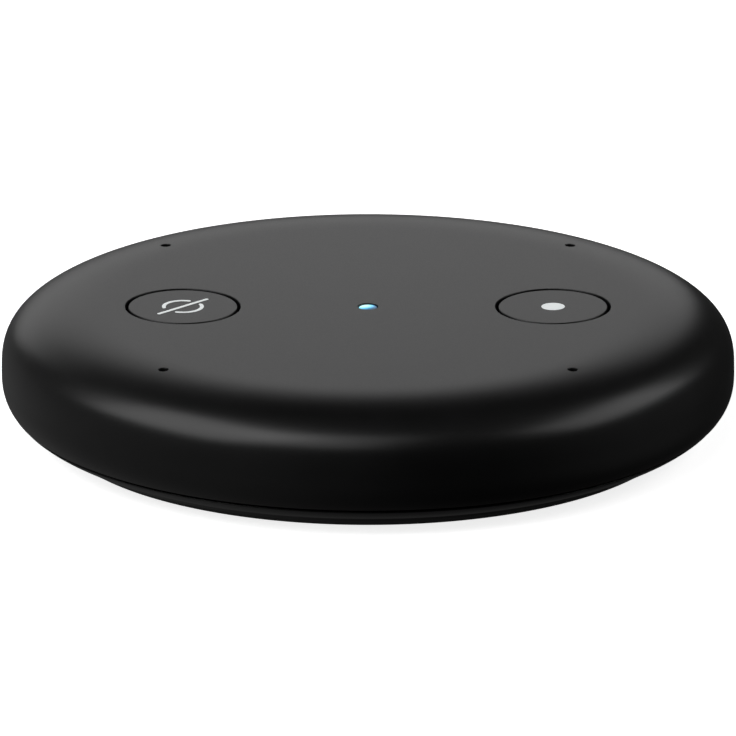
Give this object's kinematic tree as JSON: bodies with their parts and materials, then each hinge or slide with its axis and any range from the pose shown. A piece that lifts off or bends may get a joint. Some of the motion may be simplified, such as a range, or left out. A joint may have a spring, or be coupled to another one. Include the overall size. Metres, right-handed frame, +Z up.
{
  "type": "smart home hub",
  "caption": "Round, flat tabletop hub with a domed-edge shell, flush push buttons, sound holes, a centre status light and sockets for a power and an audio lead at the back.",
  "frame": {"origin": "centre of the rubber foot on the surface that the hub stands on", "axes": "+Z up through the round top, +X towards the action button, +Y towards the sockets at the back, front at -Y"},
  "size_m": [0.08, 0.08, 0.014],
  "materials": {
    "shell_black": "fine matt texture, moulded",
    "button_black": "fine matt texture, moulded",
    "foot_rubber": "matt",
    "tape_white": "double-sided tape",
    "screw_steel": "zinc plated",
    "plate_steel": "stamped, plain",
    "shield_metal": "tin plated, thin drawn sheet",
    "socket_steel": "nickel plated",
    "contact_gold": "gold plated spring metal",
    "mic_metal": "plated lid",
    "antenna_metal": "stamped sheet",
    "board_laminate": "green solder mask on glass laminate",
    "chip_black": "moulded package",
    "switch_plastic": "moulded",
    "connector_black": "moulded",
    "ferrite": "ferrite",
    "pad_grey": "soft thermal pad",
    "gasket_foam": "closed-cell foam",
    "screen_cloth": "fine woven acoustic cloth",
    "light_clear": "clear moulding, lit pale blue",
    "led_white": "lamp package"
  },
  "bodies": {
    "hub_body": {"action_switch_base": "switch_plastic", "action_switch_frame": "shield_metal", "antenna_left": "antenna_metal", "antenna_right": "antenna_metal", "audio_chip": "chip_black", "audio_contact_ring": "contact_gold", "audio_contact_sleeve": "contact_gold", "audio_contact_tip": "contact_gold", "audio_socket_body": "connector_black", "audio_socket_liner": "socket_steel", "ballast_plate": "plate_steel", "board_screw_1": "screw_steel", "board_screw_2": "screw_steel", "board_screw_3": "screw_steel", "bottom_cover": "shell_black", "case_screw_1": "screw_steel", "case_screw_2": "screw_steel", "case_screw_3": "screw_steel", "case_screw_4": "screw_steel", "charge_socket_core": "connector_black", "charge_socket_shell": "socket_steel", "chip_pad": "pad_grey", "foot_tape": "tape_white", "light_gasket": "gasket_foam", "light_pipe": "light_clear", "link_plug": "connector_black", "link_socket": "connector_black", "main_board": "board_laminate", "memory_chip": "chip_black", "mic_front_left": "mic_metal", "mic_front_right": "mic_metal", "mic_gasket_front_left": "gasket_foam", "mic_gasket_front_right": "gasket_foam", "mic_gasket_rear_left": "gasket_foam", "mic_gasket_rear_right": "gasket_foam", "mic_rear_left": "mic_metal", "mic_rear_right": "mic_metal", "mic_screen_front_left": "screen_cloth", "mic_screen_front_right": "screen_cloth", "mic_screen_rear_left": "screen_cloth", "mic_screen_rear_right": "screen_cloth", "mute_switch_base": "switch_plastic", "mute_switch_frame": "shield_metal", "plate_pad": "pad_grey", "power_chip": "chip_black", "power_coil_1": "ferrite", "power_coil_2": "ferrite", "processor_chip": "chip_black", "processor_shield": "shield_metal", "radio_chip": "chip_black", "radio_shield": "shield_metal", "rubber_foot": "foot_rubber", "status_led": "led_white", "top_cover": "shell_black", "upper_board": "board_laminate"},
    "mute_button": {"mute_button_cap": "button_black"},
    "mute_plunger": {"mute_switch_plunger": "switch_plastic"},
    "action_button": {"action_button_cap": "button_black"},
    "action_plunger": {"action_switch_plunger": "switch_plastic"}
  },
  "joints": [
    {"name": "mute_button_press", "type": "slide", "parent": "hub_body", "child": "mute_button", "axis": [0, 0, -1], "range_m": [0, 0.0003], "stiffness_N_per_m": 2000},
    {"name": "mute_plunger_press", "type": "slide", "parent": "hub_body", "child": "mute_plunger", "axis": [0, 0, -1], "range_m": [0, 0.0003]},
    {"name": "action_button_press", "type": "slide", "parent": "hub_body", "child": "action_button", "axis": [0, 0, -1], "range_m": [0, 0.0003], "stiffness_N_per_m": 2000},
    {"name": "action_plunger_press", "type": "slide", "parent": "hub_body", "child": "action_plunger", "axis": [0, 0, -1], "range_m": [0, 0.0003]}
  ],
  "couplings": [
    {"joint": "mute_plunger_press", "follows": "mute_button_press", "ratio": 1},
    {"joint": "action_plunger_press", "follows": "action_button_press", "ratio": 1}
  ]
}
